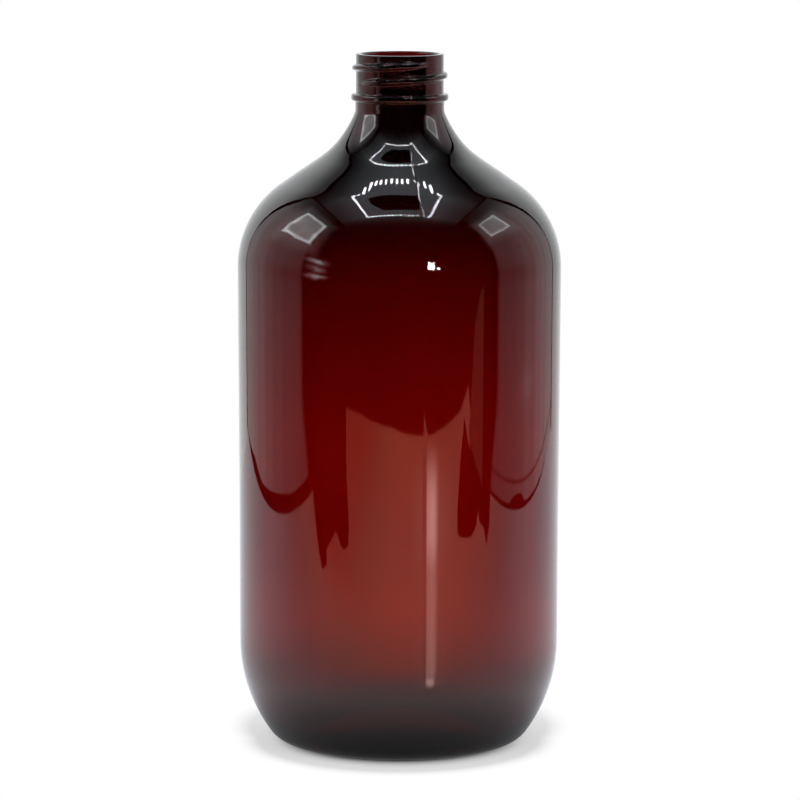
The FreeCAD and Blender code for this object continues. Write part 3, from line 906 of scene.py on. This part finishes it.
# the front lamp, the point that it faces, and the angle and half length of each ray of its glare
FRONT_LAMP, FRONT_LAMP_RADIUS, FRONT_LAMP_FACES = (0.459, -1.109, 0.406), 0.040, (0.0, 0.0, 0.14)
LAMP_RAYS, LAMP_RAY_WIDTH = ((28, 0.16), (118, 0.10), (72, 0.12), (160, 0.12)), 0.0010

# both floors lie a hair under the ring that the bottle stands on
WHITE_FLOOR_DROP, TENT_FLOOR_DROP = 0.00006, 0.00003
WHITE_FLOOR_HALF = 6.0

WALL_TOP_DROP = 0.022

CAMERA_ASIDE = 0.00025
VIEW_END = 50.0


def mirrored_only(*pieces):
    """Stage pieces that are only there to be mirrored in the bottle, and light nothing."""
    for piece in pieces:
        piece.visible_camera = False
        piece.visible_diffuse = False
        piece.visible_transmission = False
        piece.visible_volume_scatter = False
        piece.visible_shadow = False


def sheet(name, material, *rings):
    """A flat sheet from its outline and any hole in it, each given by its corners in order."""
    mesh = bmesh.new()
    for ring in rings:
        last = first = mesh.verts.new(ring[0])
        for corner in ring[1:]:
            last = bmesh.ops.extrude_vert_indiv(mesh, verts=[last])["verts"][0]
            last.co = corner
        mesh.edges.new((last, first))
    bmesh.ops.triangle_fill(mesh, use_beauty=True, use_dissolve=False, edges=mesh.edges[:])
    piece = new_piece(name, mesh, smooth=False)
    piece.data.materials.append(material)
    return piece


def side_wall(name, material, x, foot, heel, t):
    """A side wall from its foot, up the bulge of the tent's rear corner, to its top."""
    b, top = t.back, t.ceiling - WALL_TOP_DROP
    rear = [(b - 0.028, heel), (b - 0.024, 0.25), (b - 0.07, 0.42), (b - 0.11, 0.60), (b - 0.08, top)]
    return sheet(name, material, [(x, y, z) for y, z in (*foot, *rear, (foot[0][0], top))])


def back_wall(t):
    """The back wall, a little in front of the side walls' rear edges."""
    w, b, top = t.half_width, t.back, t.ceiling - WALL_TOP_DROP
    corners = [
        (-w + 0.010, b - 0.015, 0.0), (w - 0.010, b - 0.015, 0.0), (w - 0.010, b - 0.02, 0.25),
        (w - 0.014, b - 0.07, top), (-w + 0.014, b - 0.07, top), (-w + 0.010, b - 0.02, 0.25),
    ]
    return sheet("tent_back", tent_back_cloth(), corners)


def add_plate(mesh, matrix, size):
    """A flat plate of one face."""
    bmesh.ops.create_grid(mesh, x_segments=1, y_segments=1, size=size, matrix=matrix)


def lamp_frame(height):
    """A closed frame of small lamps."""
    mesh = bmesh.new()
    corners = [Vector((x, y, height)) for x, y in LAMP_FRAME]
    for start, end in zip(corners, corners[1:] + corners[:1]):
        run = (end - start).normalized()
        turned = Matrix.Rotation(math.atan2(run.y, run.x), 4, "Z")
        count = max(1, round((end - start).length / LAMP_PITCH))
        for i in range(count):
            moved = Matrix.Translation(start.lerp(end, (i + 0.5) / count))
            add_plate(mesh, moved @ turned @ Matrix.Diagonal((*LAMP_SIZE, 1.0, 1.0)), 0.5)
    piece = new_piece("lamp_frame", mesh, smooth=False)
    piece.data.materials.append(glow("lamp_white", (1.0, 0.93, 1.0), 50.0))
    return piece


def front_lamp():
    """The lamp in front, with the rays that its glare throws."""
    mesh = bmesh.new()
    at = Vector(FRONT_LAMP)
    facing = (Vector(FRONT_LAMP_FACES) - at).to_track_quat("Z", "Y").to_matrix().to_4x4()
    moved = Matrix.Translation(at)
    bmesh.ops.create_icosphere(mesh, subdivisions=3, radius=FRONT_LAMP_RADIUS, matrix=moved)
    for degrees, half in LAMP_RAYS:
        turned = Matrix.Rotation(math.radians(degrees), 4, "Z")
        add_plate(mesh, moved @ facing @ turned @ Matrix.Diagonal((half, LAMP_RAY_WIDTH, 1.0, 1.0)), 1.0)
    piece = new_piece("front_lamp", mesh)
    piece.data.materials.append(glow("front_lamp_white", (1.0, 0.92, 0.95), 260.0))
    return piece


def build_tent(t):
    """Floor, side and back walls, ceiling with its opening, the lamp frame and the front lamp."""
    w, b, c = t.half_width, t.back, t.ceiling
    left_cloth = tent_wall_cloth(
        "tent_left_cloth",
        hot=(-0.020, 0.49), half=(0.133, 0.120), inner=1.2, rim=4.8, front=-0.165, flap=-0.27,
    )
    right_cloth = tent_wall_cloth(
        "tent_right_cloth",
        hot=(0.003, 0.505), half=(0.099, 0.082), inner=0.9, rim=3.0, front=-0.155, flap=None,
    )
    edge = [(FLOOR_LEFT, b), *FLOOR_EDGE, (FLOOR_RIGHT, b)]
    floor = sheet("tent_floor", tent_floor_cloth(), [(x, y, 0) for x, y in edge])
    floor.data.transform(Matrix.Translation((0, 0, -TENT_FLOOR_DROP)))
    left = side_wall("tent_left", left_cloth, -w, LEFT_FOOT, 0.005, t)
    right = side_wall("tent_right", right_cloth, w, RIGHT_FOOT, 0.006, t)
    # painted light: a flap low in front of the right wall glows a dim red, though it is no lamp
    flap_cloth = glow("tent_flap_cloth", (1.0, 0.26, 0.18), 0.5)
    flap = sheet("tent_flap", flap_cloth, [(w, y, z) for y, z in FLAP_CORNERS])
    rear = back_wall(t)
    outline = [(-w, -0.42), (w, -0.42), (w, b - 0.10), (-w, b - 0.10)]
    rings = [[(x, y, c) for x, y in ring] for ring in (outline, CEILING_HOLE)]
    ceiling = sheet("tent_ceiling", tent_ceiling_cloth(), *rings)
    mirrored_only(floor, left, right, flap, rear, ceiling, lamp_frame(c - LAMP_DROP), front_lamp())


# how much of the world's white is taken off what the bottle mirrors, and off what is seen through it
ROOM_DARK = 0.995
OVERHEAD_FROM, OVERHEAD_TO, OVERHEAD_DARK = 0.30, 0.62, 0.9


def build_world():
    """White all round.

    It is dark where the bottle mirrors the room past the tent's open front, and dim overhead
    where the view passes through the bottle.
    """
    world = bpy.data.worlds.new("studio")
    bpy.context.scene.world = world
    n = Nodes(world)
    rays = n.add("ShaderNodeLightPath")
    white = n.add("ShaderNodeBackground")

    # a ray that has passed through the plastic counts as glossy too, and still sees white
    passed = rays.outputs["Is Transmission Ray"]
    mirrored = n.times(rays.outputs["Is Glossy Ray"], n.minus(1.0, passed))
    _, _, z = n.split(n.place())
    overhead = n.times(passed, n.ramp(z, OVERHEAD_FROM, OVERHEAD_TO, 0.0, OVERHEAD_DARK))
    seen = n.times(n.minus(1.0, n.times(mirrored, ROOM_DARK)), n.minus(1.0, overhead))
    n.link(seen, white.inputs["Strength"])
    out = n.add("ShaderNodeOutputWorld")
    n.link(white.outputs["Background"], out.inputs["Surface"])


def build_camera(t):
    """The camera, looking down a little at the bottle from the front."""
    data = bpy.data.cameras.new("camera")
    data.sensor_fit = "HORIZONTAL"
    data.angle = t.camera_view
    data.clip_end = VIEW_END
    camera = bpy.data.objects.new("camera", data)
    bpy.context.scene.collection.objects.link(camera)
    camera.matrix_world = (
        Matrix.Translation((CAMERA_ASIDE, -t.camera_distance, t.camera_height))
        @ Matrix.Rotation(math.pi / 2 - t.camera_pitch, 4, "X")
        @ Matrix.Rotation(t.camera_roll, 4, "Z")
    )
    bpy.context.scene.camera = camera


# ---------------------------------------------------------------- operators

class BOTTLE_OT_bottle(bpy.types.Operator):
    """Model the bottle's wall, neck, thread and base as one closed shell"""

    bl_idname = "boston_round.bottle"
    bl_label = "Bottle"
    bl_options = {"REGISTER", "UNDO"}

    def execute(self, context):
        mesh = bmesh.new()
        shape_bottle(mesh, context.scene.bottle_sizes)
        piece = new_piece("bottle_shell", mesh)
        piece.data.attributes.remove(piece.data.attributes["inside"])
        if len(piece.data.polygons) == 0:
            raise RuntimeError("the bottle's section made no faces")
        piece.data.materials.append(amber_plastic(context.scene.amber_finish))
        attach(piece, "root")
        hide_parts(NODE)
        return {"FINISHED"}


class BOTTLE_OT_stage(bpy.types.Operator):
    """Build the white floor, the light tent that the bottle mirrors, the world and the camera"""

    bl_idname = "boston_round.stage"
    bl_label = "Stage"
    bl_options = {"REGISTER", "UNDO"}

    def execute(self, context):
        mesh = bmesh.new()
        add_plate(mesh, Matrix.Translation((0, 0, -WHITE_FLOOR_DROP)), WHITE_FLOOR_HALF)
        floor = new_piece("floor", mesh, smooth=False)
        floor.data.materials.append(white_floor())
        floor.visible_glossy = False
        build_tent(context.scene.studio_sizes)
        build_world()
        build_camera(context.scene.studio_sizes)
        context.scene.view_settings.view_transform = "Standard"
        return {"FINISHED"}


class BOTTLE_PT_panel(bpy.types.Panel):
    """The bottle's tools, in the 3D view's sidebar"""

    bl_label = "Boston round bottle"
    bl_idname = "BOTTLE_PT_panel"
    bl_space_type = "VIEW_3D"
    bl_region_type = "UI"
    bl_category = "Bottle"

    def draw(self, context):
        layout = self.layout
        for operator in (BOTTLE_OT_bottle, BOTTLE_OT_stage):
            layout.operator(operator.bl_idname)
        scene = context.scene
        for settings in (scene.bottle_sizes, scene.amber_finish, scene.studio_sizes):
            box = layout.box()
            for name in settings.__annotations__:
                box.prop(settings, name)


CLASSES = (BottleSizes, AmberFinish, StudioSizes, BOTTLE_OT_bottle, BOTTLE_OT_stage, BOTTLE_PT_panel)


def register():
    for cls in CLASSES:
        bpy.utils.register_class(cls)
    bpy.types.Scene.bottle_sizes = PointerProperty(type=BottleSizes)
    bpy.types.Scene.amber_finish = PointerProperty(type=AmberFinish)
    bpy.types.Scene.studio_sizes = PointerProperty(type=StudioSizes)


def unregister():
    del bpy.types.Scene.studio_sizes, bpy.types.Scene.amber_finish, bpy.types.Scene.bottle_sizes
    for cls in reversed(CLASSES):
        bpy.utils.unregister_class(cls)


def main():
    register()
    bpy.ops.boston_round.bottle()
    bpy.ops.boston_round.stage()
    bpy.context.view_layer.update()


if __name__ == "__main__":
    main()
